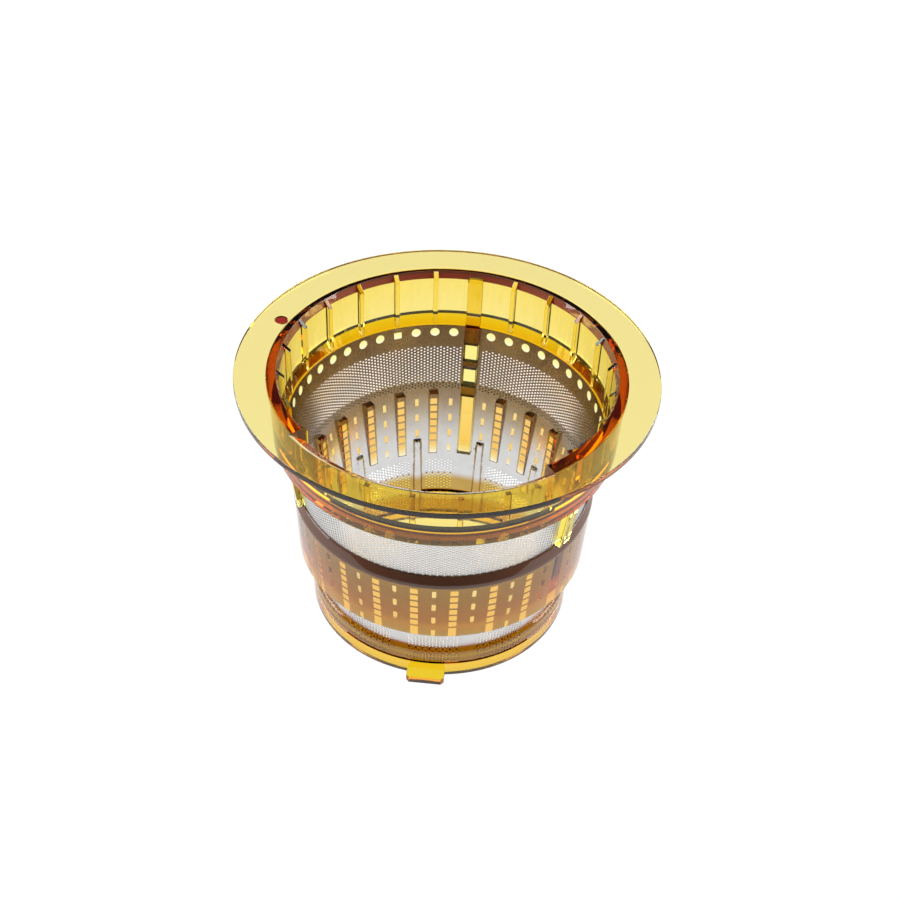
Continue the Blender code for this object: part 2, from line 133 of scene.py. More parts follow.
# The wall, the shoulder and the foot.
WALL_BOTTOM_DEPTH = 61.2 * MM
WALL_TAPER = 1.0 * MM
SHOULDER_TOP_WIDTH = 0.7 * MM
SHOULDER_EDGE_HEIGHT = 0.9 * MM
FOOT_TOP_WIDTH = 0.8 * MM
FOOT_SLOPE_HEIGHT = 0.9 * MM
FOOT_BORE_RADIUS = 35.4 * MM
FOOT_SHELF_DROP = 0.5 * MM
FOOT_LIP_HEIGHT = 0.2 * MM
FOOT_LIP_OVERLAP = 0.05 * MM
FOOT_GRIP_HEIGHT = 0.4 * MM
GROOVE_HEIGHT = 5.3 * MM
GROOVE_HALF_WIDTH = 0.4 * MM
GROOVE_CUT = 0.5 * MM
LUG_ROOT_RADIUS = 36.9 * MM
LUG_REACH_RADIUS = FOOT_RADIUS + 3.5 * MM
LUG_HALF_WIDTH = 5.4 * MM
LUG_CORNER = 0.8 * MM
LUG_EASE = 0.2 * MM

# The alignment dot. Its face is slightly dished.
DOT_FLOOR_DEPTH = 0.55 * MM
DOT_EDGE_DEPTH = 0.3 * MM
DOT_FACE_DEPTH = 0.18 * MM
DOT_MIDDLE_DEPTH = 0.26 * MM
DOT_FACE_SHARE = 0.9
DOT_DISH = 0.1 * MM
DOT_CLEARANCE = 0.1 * MM
DOT_SIDES = 48

# The etched sheet. Each sector of it starts at the seam place, an azimuth counted from the bar.
SHEET_THICKNESS = 0.25 * MM
SHEET_MIDDLE = 0.13 * MM
SLOT_PLUG_FACE = 0.22 * MM
SEAM_PLACE = RIB_PITCH / 4
WELD_DISTANCE = 0.002 * MM

# The openings in the sheet.
ROUND_HOLE_DIAMETER = 2.8 * MM
ROUND_HOLE_SIDES = 24
ROUND_HOLE_DEPTH = 20.4 * MM
ROUND_HOLES_PER_RIB = 2
SQUARE_HOLE_INDEX = 2
SQUARE_HOLE_SIDE = 2.4 * MM
SLOT_WIDTH = 2.1 * MM
SLOT_TOP_DEPTH = 43.3 * MM
SLOT_PITCH = 2.68 * MM
SLOT_BRIDGE = 0.52 * MM
SLOTS_PER_COLUMN = 7
DASH_WIDTH = 1.1 * MM
DASH_LENGTH = 2.7 * MM
DASH_FIRST_DEPTH = 45.0 * MM
DASH_PITCH = 5.6 * MM
DASHES_PER_COLUMN = 4
WINDOW_WIDTH = 3.6 * MM
WINDOW_EASE = 0.12 * MM
UPPER_WINDOWS = ((23.2 * MM, 29.0 * MM), (31.6 * MM, 38.0 * MM))
LOWER_WINDOW = (41.5 * MM, 62.7 * MM)
WINDOWS = (*UPPER_WINDOWS, LOWER_WINDOW)
FINE_HOLE_DIAMETER = 0.6 * MM
FINE_HOLE_SIDES = 8
UPPER_MESH = {"first": 25.6 * MM, "pitch": 1.0 * MM, "rows": 14, "columns": 90}
LOWER_MESH = {"first": 66.8 * MM, "pitch": 1.04 * MM, "rows": 10, "columns": 80}
BAR_CLEARANCE = 3.1 * MM

# The embossed ridges. Their places are azimuths in one sector, counted from the bar.
RIDGE_PITCH = 30.0
RIDGE_PLACES = [1.5 * RIB_PITCH + RIDGE_PITCH * index for index in range(round(SECTOR / RIDGE_PITCH))]
RIDGE_CLEARANCE = 2.5 * MM
RIDGE_HALF_WIDTH = 1.3 * MM
RIDGE_HEIGHT = 0.9 * MM
RIDGE_TOP_DEPTH = 58.3 * MM
RIDGE_TOP_ROUND = 0.8 * MM
RIDGE_STEPS = 5

# Depths of the loose points that keep the sheet round where it is plain, and shape the ridges.
UPPER_ROW_DEPTHS = [18.4 * MM, 22.6 * MM, 24.2 * MM]
LOWER_ROW_DEPTHS = [(41.0 + 1.34 * row) * MM for row in range(18)] + [65.6 * MM]
ROW_STEP = 1.5
RIDGE_END_DEPTHS = [RIDGE_TOP_DEPTH + step * 0.2 * MM for step in range(-1, 5)]
RIDGE_LENGTH_DEPTHS = [RIDGE_TOP_DEPTH + (1.4 + 0.9 * step) * MM for step in range(20)]

# Material slots. Slot 0 is the flange and neck in the frame, and the part in the neck in the bars.
LEDGE_SLOT = 1
# The rim chamfer's slot holds painted shade.
RIM_SLOT = 2
# The slot of the wedge and the posts holds a paler copy of the amber, painted light.
PALE_LIT_SLOT = 3
# Over the windows the bars take painted light, and where the steel backs them painted shade.
WINDOW_SLOT = 1
BACKED_SLOT = 2

SEGMENTS = 360
FLAT_CREASE = 16.0
ROUND_CREASE = 40.0

# The table, the lights and the camera.
FLOOR_GAP = 0.3 * MM
FLOOR_HALF_SIZE = 4.0
LIGHT_TARGET = (0.0, 0.0, 0.04)
CAMERA_PLACE = (1.51 * MM, -299.44 * MM, 312.6 * MM)
CAMERA_TILT = 49.0
CAMERA_ROLL = 2.46


def screen_inner(depth):
    """The sheet's inner radius at a depth below the flange's top."""
    return SCREEN_TOP_RADIUS - SCREEN_TAPER * (depth - SCREEN_TOP_DEPTH)


def sheet_at(depth, offset=SHEET_MIDDLE):
    """A section point inside the sheet, where a moulded surface hides in the steel."""
    return (screen_inner(depth) + offset, depth)


def grid_azimuth(index):
    """The azimuth of a place on the grid, counted from the first bar."""
    return FIRST_RIB_AZIMUTH + RIB_PITCH * index


def bar_azimuths():
    """Where the bars and posts stand."""
    return [grid_azimuth(index) for index in range(0, RIB_COUNT, BAR_EVERY)]


def rib_azimuths():
    """Where the neck ribs and slot ribs stand: every place on the grid without a bar."""
    return [grid_azimuth(index) for index in range(RIB_COUNT) if index % BAR_EVERY]


def new_object(name, mesh):
    """A scene object for a mesh."""
    obj = bpy.data.objects.new(name, mesh)
    bpy.context.scene.collection.objects.link(obj)
    return obj


def object_from(shape, name):
    """A new object with the shape as its mesh. The shape is used up."""
    mesh = bpy.data.meshes.new(name)
    shape.to_mesh(mesh)
    shape.free()
    return new_object(name, mesh)


def eased_corners(section, steps=3):
    """A (radius, depth) section whose corners with a third value are eased by that distance."""
    eased = []
    for index, corner in enumerate(section):
        here = Vector(corner[:2])
        if len(corner) < 3:
            eased.append(tuple(here))
            continue
        before = Vector(section[index - 1][:2])
        after = Vector(section[(index + 1) % len(section)][:2])
        start = here + (before - here).normalized() * corner[2]
        end = here + (after - here).normalized() * corner[2]
        for step in range(steps + 1):
            way = step / steps
            eased.append(tuple(start.lerp(here, way).lerp(here.lerp(end, way), way)))
    return eased


def turned(name, section):
    """A closed ring with the given (radius, depth) section."""
    section = eased_corners(section)
    count = len(section)
    points = []
    for turn in range(SEGMENTS):
        angle = 2 * math.pi * turn / SEGMENTS
        across = math.cos(angle)
        along = math.sin(angle)
        points += [(radius * across, radius * along, TOP - depth) for radius, depth in section]
    faces = []
    for turn in range(SEGMENTS):
        here = turn * count
        there = (turn + 1) % SEGMENTS * count
        for index in range(count):
            after = (index + 1) % count
            faces.append((here + index, here + after, there + after, there + index))
    mesh = bpy.data.meshes.new(name)
    mesh.from_pydata(points, [], faces)
    face_outwards(mesh)
    return new_object(name, mesh)


def face_outwards(mesh):
    """Turns every face of a closed mesh outwards."""
    shape = bmesh.new()
    shape.from_mesh(mesh)
    bmesh.ops.recalc_face_normals(shape, faces=shape.faces)
    shape.to_mesh(mesh)
    shape.free()


def add_block(shape, corners, growth, angle, ease):
    """Adds the block that a flat outline sweeps along a vector, with eased edges, turned about the axis."""
    block = bmesh.new()
    face = block.faces.new([block.verts.new(corner) for corner in corners])
    grown = bmesh.ops.extrude_face_region(block, geom=[face])["geom"]
    moved = [item for item in grown if isinstance(item, bmesh.types.BMVert)]
    bmesh.ops.translate(block, verts=moved, vec=growth)
    bmesh.ops.bevel(block, geom=list(block.edges), offset=ease, segments=2, profile=0.5, affect="EDGES")
    bmesh.ops.rotate(block, verts=block.verts, matrix=Matrix.Rotation(angle, 3, "Z"))
    bmesh.ops.recalc_face_normals(block, faces=block.faces)
    made = bpy.data.meshes.new("block")
    block.to_mesh(made)
    block.free()
    shape.from_mesh(made)
    bpy.data.meshes.remove(made)


def plates(name, outline, width, azimuths, ease):
    """Upright plates with one (radius, depth) outline at several azimuths, as separate closed bodies."""
    corners = [(radius, -width / 2, TOP - depth) for radius, depth in outline]
    shape = bmesh.new()
    for azimuth in azimuths:
        add_block(shape, corners, (0.0, width, 0.0), math.radians(azimuth), ease)
    return object_from(shape, name)


def combine(base, tools, operation="UNION"):
    """Joins the tools to the base, or cuts them from it, and removes them."""
    for tool in tools:
        joint = base.modifiers.new(tool.name, "BOOLEAN")
        joint.operation = operation
        joint.solver = "MANIFOLD"
        joint.object = tool
    bake_modifiers(base)
    for tool in tools:
        bpy.data.objects.remove(tool)


def bake_modifiers(obj):
    """Replaces a mesh by what its modifiers make of it."""
    graph = bpy.context.evaluated_depsgraph_get()
    graph.update()
    mesh = bpy.data.meshes.new_from_object(obj.evaluated_get(graph))
    obj.modifiers.clear()
    obj.data = mesh


def shade(obj, crease=FLAT_CREASE):
    """Smooth between real edges, with the large faces kept flat beside their eased corners."""
    obj.data.shade_smooth()
    obj.data.set_sharp_from_angle(angle=math.radians(crease))
    flatten = obj.modifiers.new("flatten", "WEIGHTED_NORMAL")
    flatten.keep_sharp = True
    bake_modifiers(obj)


def join_bodies(base, others, slot):
    """Adds separate closed bodies to the base, in one material slot."""
    shape = bmesh.new()
    shape.from_mesh(base.data)
    for other in others:
        for face in other.data.polygons:
            face.material_index = slot
        shape.from_mesh(other.data)
        bpy.data.objects.remove(other)
    shape.to_mesh(base.data)
    shape.free()


def paint(obj, materials):
    """Gives a piece its materials, with each face kept in its slot."""
    indices = [face.material_index for face in obj.data.polygons]
    obj.data.materials.clear()
    for material in materials:
        obj.data.materials.append(material)
    for face, index in zip(obj.data.polygons, indices):
        face.material_index = min(index, len(materials) - 1)


def finish_piece(obj, nodes):
    """Fixes a piece to the body and lets it stand in for its CAD nodes."""
    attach(obj, "root")
    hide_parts(*nodes)


def dress(obj, materials, nodes):
    """Shades a moulded piece, gives it its materials and lets it stand in for its CAD nodes."""
    shade(obj)
    paint(obj, materials)
    finish_piece(obj, nodes)


def numbered(name, azimuths, digits=1):
    """The numbered names of the CAD nodes at the azimuths."""
    return [f"{name}_{number:0{digits}d}" for number in range(1, len(azimuths) + 1)]


def neck_radius(depth):
    """The outer radius of the neck wall at a depth."""
    share = (depth - FLANGE_THICKNESS) / (NECK_BOTTOM_DEPTH - FLANGE_THICKNESS)
    return NECK_OUTER_RADIUS + (NECK_EDGE_RADIUS - NECK_OUTER_RADIUS) * share


def make_collar():
    """Flange and neck wall, down to the ledge."""
    under = FLANGE_THICKNESS
    section = [
        (FLANGE_RADIUS, 0.0, 0.3 * MM),
        (FLANGE_RADIUS, under, 0.3 * MM),
        (NECK_OUTER_RADIUS, under, 0.7 * MM),
        (neck_radius(LEDGE_TOP_DEPTH), LEDGE_TOP_DEPTH),
        (NECK_BORE_RADIUS, LEDGE_TOP_DEPTH),
        (NECK_BORE_RADIUS, RIM_CHAMFER_HEIGHT, 0.2 * MM),
        (NECK_BORE_RADIUS + RIM_CHAMFER_WIDTH, 0.0, 0.15 * MM),
    ]
    return turned("amber_frame", section)


def make_ledge():
    """The thick part of the neck, with the ledge that grips the top of the sheet."""
    top = LEDGE_TOP_DEPTH + BODY_GAP
    section = [
        (neck_radius(top), top),
        (neck_radius(GRIP_OUTER_DEPTH), GRIP_OUTER_DEPTH),
        sheet_at(GRIP_DEPTH),
        (LEDGE_BOTTOM_RADIUS, LEDGE_BOTTOM_DEPTH),
        (NECK_BORE_RADIUS, top),
    ]
    return turned("ledge", section)


def make_neck_edge():
    """The clear wedge below the ledge, behind the round holes. Its underside slopes in to the sheet."""
    outer_top = GRIP_OUTER_DEPTH + BODY_GAP
    section = [
        (neck_radius(outer_top), outer_top),
        (NECK_EDGE_RADIUS, NECK_BOTTOM_DEPTH),
        sheet_at(NECK_INNER_BOTTOM_DEPTH),
        sheet_at(GRIP_DEPTH + BODY_GAP),
    ]
    return turned("neck_edge", section)


def rim_relief():
    """A wedge that slopes the rim down towards the bore, over one part of the turn."""
    slope = RELIEF_DEPTH / (RELIEF_RADIUS - NECK_BORE_RADIUS)
    inner = NECK_BORE_RADIUS - RELIEF_REACH
    rise = slope * RELIEF_REACH
    section = [
        (inner, RELIEF_DEPTH + rise),
        (RELIEF_RADIUS + RELIEF_REACH, -rise),
        (inner, -rise),
    ]
    shape = bmesh.new()
    rings = []
    steps = round(RELIEF_END - RELIEF_START)
    for step in range(steps + 1):
        turn = Matrix.Rotation(math.radians(RELIEF_START + step), 3, "Z")
        corners = [turn @ Vector((radius, 0.0, TOP - depth)) for radius, depth in section]
        rings.append([shape.verts.new(corner) for corner in corners])
    for here, there in zip(rings, rings[1:]):
        for index in range(len(section)):
            after = (index + 1) % len(section)
            shape.faces.new((here[index], here[after], there[after], there[index]))
    shape.faces.new(reversed(rings[0]))
    shape.faces.new(rings[-1])
    bmesh.ops.recalc_face_normals(shape, faces=shape.faces)
    return object_from(shape, "relief")


def lead_in(radius):
    """The depth of the sloping lead-in across the tops of ribs and bars."""
    return NECK_BORE_RADIUS + RIM_CHAMFER_WIDTH - radius


def make_wall():
    """The solid wall behind the slotted band."""
    top = TOP - MID_RING_LOW.z + BODY_GAP
    section = [
        (WALL_HIGH.x, top),
        (WALL_HIGH.x - WALL_TAPER, WALL_BOTTOM_DEPTH, 0.2 * MM),
        sheet_at(TOP - WALL_LOW.z),
        sheet_at(top),
    ]
    return turned("amber_skirt", section)


def in_relief(azimuth):
    """Whether a rib stands where the rim slopes down."""
    return RELIEF_START < azimuth < RELIEF_END


def rib_outline(inner_top, outer_top):
    """A neck rib's outline, from its top down over the ledge's slope."""
    return [
        (RIB_INNER_RADIUS, inner_top),
        (RIB_ROOT_RADIUS, outer_top),
        (RIB_ROOT_RADIUS, LEDGE_TOP_DEPTH - BODY_GAP),
        (NECK_BORE_RADIUS - BODY_GAP, LEDGE_TOP_DEPTH - BODY_GAP),
        (LEDGE_BOTTOM_RADIUS - BODY_GAP, RIB_BOTTOM_DEPTH),
        (RIB_INNER_RADIUS, RIB_BOTTOM_DEPTH),
    ]


def make_ribs():
    """The ribs inside the neck that reach the rim."""
    outline = rib_outline(lead_in(RIB_INNER_RADIUS), lead_in(RIB_ROOT_RADIUS))
    azimuths = [azimuth for azimuth in rib_azimuths() if not in_relief(azimuth)]
    return plates("ribs", outline, NECK_RIB_WIDTH, azimuths, NECK_RIB_EASE)


def make_low_ribs():
    """The lower ribs where the rim slopes down."""
    outline = rib_outline(LOW_RIB_TOP_DEPTH, LOW_RIB_TOP_DEPTH)
    azimuths = [azimuth for azimuth in rib_azimuths() if in_relief(azimuth)]
    return plates("low_ribs", outline, NECK_RIB_WIDTH, azimuths, NECK_RIB_EASE)


def bar_block(over, under):
    """One length of the bars on the inside of the screen, between two depths."""
    outline = [
        sheet_at(over, -bar_rise(over)),
        sheet_at(over, -BAR_GAP),
        sheet_at(under, -BAR_GAP),
        sheet_at(under, -bar_rise(under)),
    ]
    return plates("bar_block", outline, BAR_WIDTH, bar_azimuths(), BAR_BLOCK_EASE)


def bar_rise(depth):
    """How far a bar stands in from the screen at a depth."""
    share = (depth - LEDGE_BOTTOM_DEPTH) / (BAR_BOTTOM_DEPTH - LEDGE_BOTTOM_DEPTH)
    return BAR_TOP_RISE - BAR_TAPER * share


def make_bars(materials):
    """The long bars from the rim to the end of the slotted band.

    They are tinted deeply in the neck; over the windows a paler copy of the amber paints light on them, and
    over the steel a deeper orange copy paints shade.
    """
    outline = [
        (RIB_INNER_RADIUS, lead_in(RIB_INNER_RADIUS)),
        (NECK_BORE_RADIUS - BAR_GAP, lead_in(NECK_BORE_RADIUS - BAR_GAP)),
        (NECK_BORE_RADIUS - BAR_GAP, LEDGE_TOP_DEPTH),
        (LEDGE_BOTTOM_RADIUS - BAR_GAP, LEDGE_BOTTOM_DEPTH),
        sheet_at(LEDGE_BOTTOM_DEPTH, -bar_rise(LEDGE_BOTTOM_DEPTH)),
        (RIB_INNER_RADIUS, LEDGE_TOP_DEPTH),
    ]
    bars = plates("amber_bars", outline, BAR_WIDTH, bar_azimuths(), BAR_EASE)
    clear = [bar_block(over, under) for over, under in WINDOWS]
    starts = [LEDGE_BOTTOM_DEPTH] + [under for over, under in WINDOWS]
    ends = [over for over, under in WINDOWS] + [BAR_BOTTOM_DEPTH]
    backed = [bar_block(start + BODY_GAP, end - BODY_GAP) for start, end in zip(starts, ends)]
    join_bodies(bars, clear, WINDOW_SLOT)
    join_bodies(bars, backed, BACKED_SLOT)
    dress(bars, materials, numbered("press_bar", bar_azimuths()))


def make_posts():
    """The posts outside the upper sieve. Their tops follow the neck's sloping underside."""
    inner = NECK_INNER_BOTTOM_DEPTH + BAR_GAP
    slope = (inner - NECK_BOTTOM_DEPTH) / (NECK_EDGE_RADIUS - screen_inner(inner))
    bottom = TOP - MID_RING_HIGH.z - BAR_GAP
    outline = [
        sheet_at(inner, SHEET_THICKNESS + BAR_GAP),
        sheet_at(inner - slope * POST_DEPTH, POST_DEPTH),
        sheet_at(bottom, POST_DEPTH),
        sheet_at(bottom, SHEET_THICKNESS + BAR_GAP),
    ]
    return plates("posts", outline, BAR_WIDTH, bar_azimuths(), POST_EASE)


def make_slot_ribs():
    """The ribs over the columns of slots. They stand in furthest at the top."""
    outline = [
        sheet_at(SLOT_RIB_TOP_DEPTH, -SLOT_RIB_TOP_RISE),
        sheet_at(SLOT_RIB_TOP_DEPTH, SLOT_PLUG_FACE),
        sheet_at(SLOT_RIB_BOTTOM_DEPTH, SLOT_PLUG_FACE),
        sheet_at(SLOT_RIB_BOTTOM_DEPTH, -SLOT_RIB_BOTTOM_RISE),
    ]
    return plates("slot_ribs", outline, SLOT_RIB_WIDTH, rib_azimuths(), SLOT_RIB_EASE)


def make_key():
    """The small block below the ledge, over the square hole."""
    outline = [
        sheet_at(KEY_TOP_DEPTH, -KEY_INNER),
        sheet_at(KEY_TOP_DEPTH, KEY_TOP_OUTER),
        sheet_at(KEY_BOTTOM_DEPTH, KEY_BOTTOM_OUTER),
        sheet_at(KEY_BOTTOM_DEPTH, -KEY_INNER),
    ]
    return plates("key", outline, SQUARE_HOLE_SIDE, [grid_azimuth(SQUARE_HOLE_INDEX)], KEY_EASE)


def paint_rim(body):
    """The chamfer inside the rim takes its own material slot, for a dark copy of the amber that paints shade
    on it.
    """
    middle = NECK_BORE_RADIUS + RIM_CHAMFER_WIDTH / 2
    for face in body.data.polygons:
        across = math.hypot(face.center.x, face.center.y)
        depth = TOP - face.center.z
        if abs(across - middle) < 0.6 * RIM_CHAMFER_WIDTH and depth < RIM_CHAMFER_HEIGHT + 0.2 * MM:
            face.material_index = RIM_SLOT


def make_frame(materials):
    """The collar with its ribs, the ledge, the clear wedge below it and the outer posts. The wedge and the
    posts take a paler copy of the amber, painted light.
    """
    body = make_collar()
    combine(body, [make_ribs(), make_low_ribs()])
    combine(body, [dot_recess(), rim_relief()], "DIFFERENCE")
    edge = make_neck_edge()
    combine(edge, [make_key()])
    paint_rim(body)
    join_bodies(body, [make_ledge()], LEDGE_SLOT)
    join_bodies(body, [edge, make_posts()], PALE_LIT_SLOT)
    ribs = numbered("neck_rib", rib_azimuths(), 2)
    posts = numbered("outer_post", bar_azimuths())
    dress(body, materials, ["flange_collar", *ribs, *posts])


def make_skirt(material):
    """The solid wall behind the slotted band, with the ribs that grow from it through the slots, in a
    browner copy of the amber that paints shade.
    """
    body = make_wall()
    combine(body, [make_slot_ribs()])
    dress(body, [material], ["outer_wall", *numbered("slot_rib", rib_azimuths(), 2)])


def make_shoulder(material):
    """The ring where the upper sieve ends: a sloping shoulder with a small edge, in a dark, mostly opaque
    copy of the amber that paints shade on it.
    """
    shoulder = TOP - MID_RING_HIGH.z
    edge_radius = MID_RING_HIGH.x
    edge = TOP - MID_RING_LOW.z
    section = [
        (screen_inner(shoulder) + SHOULDER_TOP_WIDTH, shoulder, 0.3 * MM),
        (edge_radius, edge - SHOULDER_EDGE_HEIGHT, 0.4 * MM),
        (edge_radius, edge, 0.2 * MM),
        sheet_at(edge),
        sheet_at(shoulder),
    ]
    dress(turned("amber_shoulder", section), [material], ["mid_ring"])


def dot_recess():
    """The round recess in the flange that holds the dot."""
    centre = (DOT_LOW + DOT_HIGH) / 2
    radius = (DOT_HIGH.x - DOT_LOW.x) / 2 + DOT_CLEARANCE
    shape = bmesh.new()
    height = 2 * (DOT_HIGH.z - DOT_LOW.z)
    place = Matrix.Translation((centre.x, centre.y, TOP))
    bmesh.ops.create_cone(
        shape, cap_ends=True, segments=DOT_SIDES, radius1=radius, radius2=radius, depth=height, matrix=place
    )
    return object_from(shape, "recess")


def make_dot(material):
    """The red dot: a shallow moulded button with an eased edge, set in its recess."""
    centre = (DOT_LOW + DOT_HIGH) / 2
    radius = (DOT_HIGH.x - DOT_LOW.x) / 2
    profile = [
        (radius, DOT_FLOOR_DEPTH),
        (radius, DOT_EDGE_DEPTH),
        (radius * DOT_FACE_SHARE, DOT_FACE_DEPTH),
    ]
    for share in (0.7, 0.45, 0.2):
        profile.append((radius * share, DOT_FACE_DEPTH + DOT_DISH * (DOT_FACE_SHARE - share)))
    points = []
    faces = []
    for turn in range(DOT_SIDES):
        angle = 2 * math.pi * turn / DOT_SIDES
        for across, depth in profile:
            x = centre.x + across * math.cos(angle)
            y = centre.y + across * math.sin(angle)
            points.append((x, y, TOP - depth))
    bottom = len(points)
    points.append((centre.x, centre.y, TOP - DOT_FLOOR_DEPTH))
    points.append((centre.x, centre.y, TOP - DOT_MIDDLE_DEPTH))
    count = len(profile)
    for turn in range(DOT_SIDES):
        here = turn * count
        there = (turn + 1) % DOT_SIDES * count
        for index in range(count - 1):
            faces.append((here + index, there + index, there + index + 1, here + index + 1))
        faces.append((bottom, there, here))
        faces.append((bottom + 1, here + count - 1, there + count - 1))
    mesh = bpy.data.meshes.new("alignment_button")
    mesh.from_pydata(points, [], faces)
    face_outwards(mesh)
    dot = new_object("alignment_button", mesh)
    shade(dot, ROUND_CREASE)
    paint(dot, [material])
    finish_piece(dot, ["alignment_dot"])


def make_foot(material):
    """The foot ring, with its groove, and the lugs moulded to it."""
    top = TOP - FOOT_HIGH.z
    groove = TOP - GROOVE_HEIGHT
    bottom = TOP - FOOT_LOW.z
    lip_radius = screen_inner(SCREEN_BOTTOM_DEPTH) - FOOT_LIP_OVERLAP
    section = [
        (screen_inner(top) + FOOT_TOP_WIDTH, top, 0.2 * MM),
        (FOOT_RADIUS, top + FOOT_SLOPE_HEIGHT, 0.4 * MM),
        (FOOT_RADIUS, groove - GROOVE_HALF_WIDTH, 0.1 * MM),
        (FOOT_RADIUS - GROOVE_CUT, groove, 0.1 * MM),
        (FOOT_RADIUS, groove + GROOVE_HALF_WIDTH, 0.1 * MM),
        (FOOT_RADIUS, bottom, 0.4 * MM),
        (FOOT_BORE_RADIUS, bottom, 0.2 * MM),
        (FOOT_BORE_RADIUS, SCREEN_BOTTOM_DEPTH + FOOT_SHELF_DROP),
        (lip_radius, SCREEN_BOTTOM_DEPTH - FOOT_LIP_HEIGHT),
        sheet_at(SCREEN_BOTTOM_DEPTH - FOOT_GRIP_HEIGHT),
        sheet_at(top),
    ]
    ring = turned("amber_foot", section)
    combine(ring, [make_lugs()])
    dress(ring, [material], ["foot_ring", "lock_lug_1", "lock_lug_2", "lock_lug_3"])


def make_lugs():
    """Three blocks with eased edges that reach out of the foot ring."""
    height = LUG_HIGH.z - LUG_LOW.z
    corners = [
        (LUG_ROOT_RADIUS, -LUG_HALF_WIDTH, 0.0),
        (LUG_REACH_RADIUS - LUG_CORNER, -LUG_HALF_WIDTH, 0.0),
        (LUG_REACH_RADIUS, -LUG_HALF_WIDTH + LUG_CORNER, 0.0),
        (LUG_REACH_RADIUS, LUG_HALF_WIDTH - LUG_CORNER, 0.0),
        (LUG_REACH_RADIUS - LUG_CORNER, LUG_HALF_WIDTH, 0.0),
        (LUG_ROOT_RADIUS, LUG_HALF_WIDTH, 0.0),
    ]
    shape = bmesh.new()
    for number in (1, 2, 3):
        low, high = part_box(f"lock_lug_{number}")
        angle = math.atan2(low.y + high.y, low.x + high.x)
        add_block(shape, corners, (0.0, 0.0, height), angle, LUG_EASE)
    return object_from(shape, "lugs")


class Sheet:
    """One 120 degree sector of a band of the sheet, drawn flat: across is the azimuth from the bar."""

    def __init__(self, top, bottom):
        self.top = top
        self.bottom = bottom
        self.unit = math.radians(1.0) * screen_inner((top + bottom) / 2)
        self.points = []
        self.loops = []
        self.add_outline()

    def flat(self, azimuth, depth):
        """The flat place of an azimuth, counted from the bar, at a depth."""
        return Vector((azimuth * self.unit, -depth))

    def add_outline(self):
        """The sector's own outline, with points close together along its top and bottom."""
        steps = 2 * int(SECTOR)
        over = [self.flat(SEAM_PLACE + SECTOR * step / steps, self.top) for step in range(steps + 1)]
        under = [self.flat(SEAM_PLACE + SECTOR * step / steps, self.bottom) for step in range(steps, -1, -1)]
        self.add_loop(over + under)

    def add_loop(self, corners):
        """Adds a closed outline that is listed clockwise."""
        first = len(self.points)
        self.points += reversed(corners)
        self.loops.append(list(range(first, first + len(corners))))

    def add_hole(self, azimuth, depth, diameter, sides):
        """A round hole with a number of sides."""
        half_angle = math.degrees(diameter / 2 / screen_inner(depth))
        loop = []
        for side in range(sides):
            turn = 2 * math.pi * (side + 0.5) / sides
            across = azimuth + half_angle * math.cos(turn)
            down = depth + diameter / 2 * math.sin(turn)
            loop.append(self.flat(across, down))
        self.add_loop(loop)

    def add_window(self, azimuth, over, under, width):
        """A rectangular opening with small chamfers at its corners."""
        high = math.degrees(width / 2 / screen_inner(over))
        low = math.degrees(width / 2 / screen_inner(under))
        small = math.degrees(WINDOW_EASE / screen_inner(over))
        loop = [
            self.flat(azimuth - high + small, over),
            self.flat(azimuth + high - small, over),
            self.flat(azimuth + high, over + WINDOW_EASE),
            self.flat(azimuth + low, under - WINDOW_EASE),
            self.flat(azimuth + low - small, under),
            self.flat(azimuth - low + small, under),
            self.flat(azimuth - low, under - WINDOW_EASE),
            self.flat(azimuth - high, over + WINDOW_EASE),
        ]
        self.add_loop(loop)

    def add_rows(self, depths):
        """Rows of loose points that keep the cone round where it is plain."""
        count = round(SECTOR / ROW_STEP)
        for depth in depths:
            for index in range(count + 1):
                self.points.append(self.flat(SEAM_PLACE + ROW_STEP * index, depth))

    def add_ridge_points(self, azimuth, depths):
        """Loose points across a ridge and just beside it."""
        half = math.degrees(RIDGE_HALF_WIDTH / screen_inner(RIDGE_TOP_DEPTH))
        for depth in depths:
            for step in range(-RIDGE_STEPS - 1, RIDGE_STEPS + 2):
                self.points.append(self.flat(azimuth + half * step / RIDGE_STEPS, depth))

    def on_cone(self, turn):
        """The sector's points and faces in place on the cone, one turn on from the first bar."""
        flat_points, _, faces, _, _, origins = delaunay_2d_cdt(self.points, [], self.loops, 0, 1e-9)
        # A triangle inside an opening lies in the opening's outline as well as in the sector's, outline 0.
        kept = [face for face, origin in zip(faces, origins) if origin == [0]]
        points = []
        for place in flat_points:
            angle = math.radians(FIRST_RIB_AZIMUTH + place.x / self.unit + turn)
            radius = screen_inner(-place.y)
            points.append((radius * math.cos(angle), radius * math.sin(angle), TOP + place.y))
        return points, kept


def roll_sheet(name, sectors, materials):
    """A band of the screen, rolled from its sectors in order and given its thickness."""
    points = []
    faces = []
    for number, sector in enumerate(sectors):
        first = len(points)
        more_points, more_faces = sector.on_cone(SECTOR * number)
        points += more_points
        faces += [tuple(first + corner for corner in face) for face in more_faces]
    mesh = bpy.data.meshes.new(name)
    mesh.from_pydata(points, [], faces)
    shape = bmesh.new()
    shape.from_mesh(mesh)
    bmesh.ops.remove_doubles(shape, verts=shape.verts, dist=WELD_DISTANCE)
    loose = [vert for vert in shape.verts if not vert.link_faces]
    bmesh.ops.delete(shape, geom=loose, context="VERTS")
    shape.to_mesh(mesh)
    shape.free()
    obj = new_object(name, mesh)
    skin = obj.modifiers.new("thickness", "SOLIDIFY")
    skin.thickness = SHEET_THICKNESS
    skin.offset = 1.0
    bake_modifiers(obj)
    press_ridges(obj)
    mark_outside(obj)
    shade(obj, ROUND_CREASE)
    paint(obj, materials)
    return obj


def mark_outside(obj):
    """The sheet's outer face takes the second material slot."""
    for face in obj.data.polygons:
        outwards = face.normal.x * face.center.x + face.normal.y * face.center.y
        face.material_index = int(outwards > 0.5 * math.hypot(face.center.x, face.center.y))


